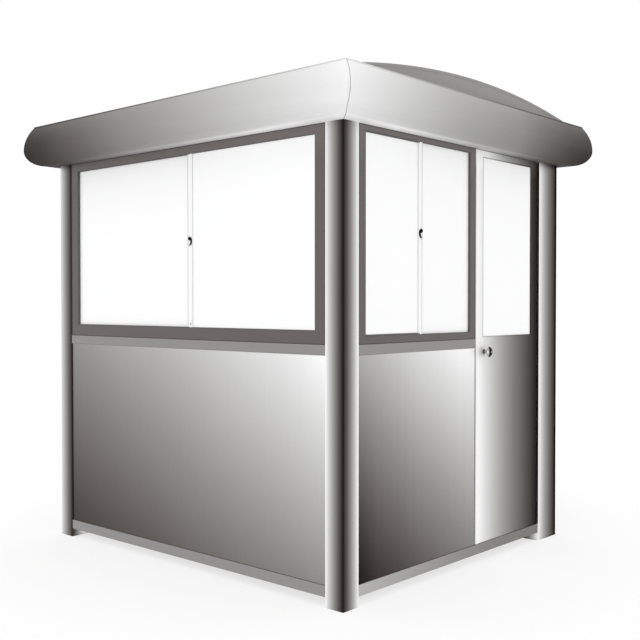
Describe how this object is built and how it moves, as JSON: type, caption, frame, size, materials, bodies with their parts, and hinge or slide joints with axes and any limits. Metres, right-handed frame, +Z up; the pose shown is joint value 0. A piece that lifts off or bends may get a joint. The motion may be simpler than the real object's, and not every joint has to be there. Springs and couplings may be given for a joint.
{
  "type": "security guard booth",
  "caption": "Stainless guard booth: box posts, lower wall panels, wide opal windows, a glazed hinged door, a bull-nosed fascia and a shallow vaulted roof.",
  "frame": {"origin": "on the ground at the middle of the footprint", "axes": "+X to the right of the front wall and out of the door, +Y to the back, +Z up"},
  "size_m": [2.41, 2.16, 2.415],
  "materials": {
    "ceiling_white": "white coated panel",
    "door_steel": "brushed stainless",
    "fascia_steel": "brushed stainless",
    "floor_vinyl": "grey sheet flooring",
    "frame_aluminium": "brown-grey powder coat",
    "knob_chrome": "polished",
    "latch_black": "satin black",
    "opal_glass": "opal white laminated",
    "panel_steel": "brushed stainless",
    "pivot_steel": "turned",
    "post_steel": "brushed stainless",
    "rail_steel": "satin stainless",
    "ring_steel": "grey primer",
    "roof_metal": "mid-grey coated sheet",
    "sill_steel": "satin stainless",
    "white_aluminium": "white powder coat"
  },
  "bodies": {
    "booth": {"base_rail_back": "rail_steel", "base_rail_front": "rail_steel", "base_rail_left": "rail_steel", "base_rail_right": "rail_steel", "ceiling": "ceiling_white", "door_jamb": "frame_aluminium", "door_pivots": "pivot_steel", "door_stop_head": "frame_aluminium", "door_stop_heel": "frame_aluminium", "fascia_back": "fascia_steel", "fascia_front": "fascia_steel", "fascia_left": "fascia_steel", "fascia_right": "fascia_steel", "floor": "floor_vinyl", "meeting_stiles": "white_aluminium", "post_back_left": "post_steel", "post_door": "post_steel", "post_front_left": "post_steel", "post_front_right": "post_steel", "ring_beam": "ring_steel", "roof_curb": "ring_steel", "roof_gable_left": "roof_metal", "roof_gable_right": "roof_metal", "roof_vault": "roof_metal", "sill_back": "sill_steel", "sill_front": "sill_steel", "sill_left": "sill_steel", "sill_right": "sill_steel", "wall_panel_back": "panel_steel", "wall_panel_front": "panel_steel", "wall_panel_left": "panel_steel", "wall_panel_right": "panel_steel", "window_frame_back": "frame_aluminium", "window_frame_front": "frame_aluminium", "window_frame_left": "frame_aluminium", "window_frame_right": "frame_aluminium", "window_latches": "latch_black", "window_panes_back": "opal_glass", "window_panes_front": "opal_glass", "window_panes_left": "opal_glass", "window_panes_right": "opal_glass"},
    "door": {"door_leaf": "door_steel", "door_pane": "opal_glass", "door_knob_outer": "knob_chrome", "door_knob_inner": "knob_chrome"}
  },
  "joints": [
    {"name": "door_hinge", "type": "hinge", "parent": "booth", "child": "door", "pos_m": [1.036, 0.71, 0], "axis": [0, 0, 1], "range_deg": [0, 90]}
  ]
}
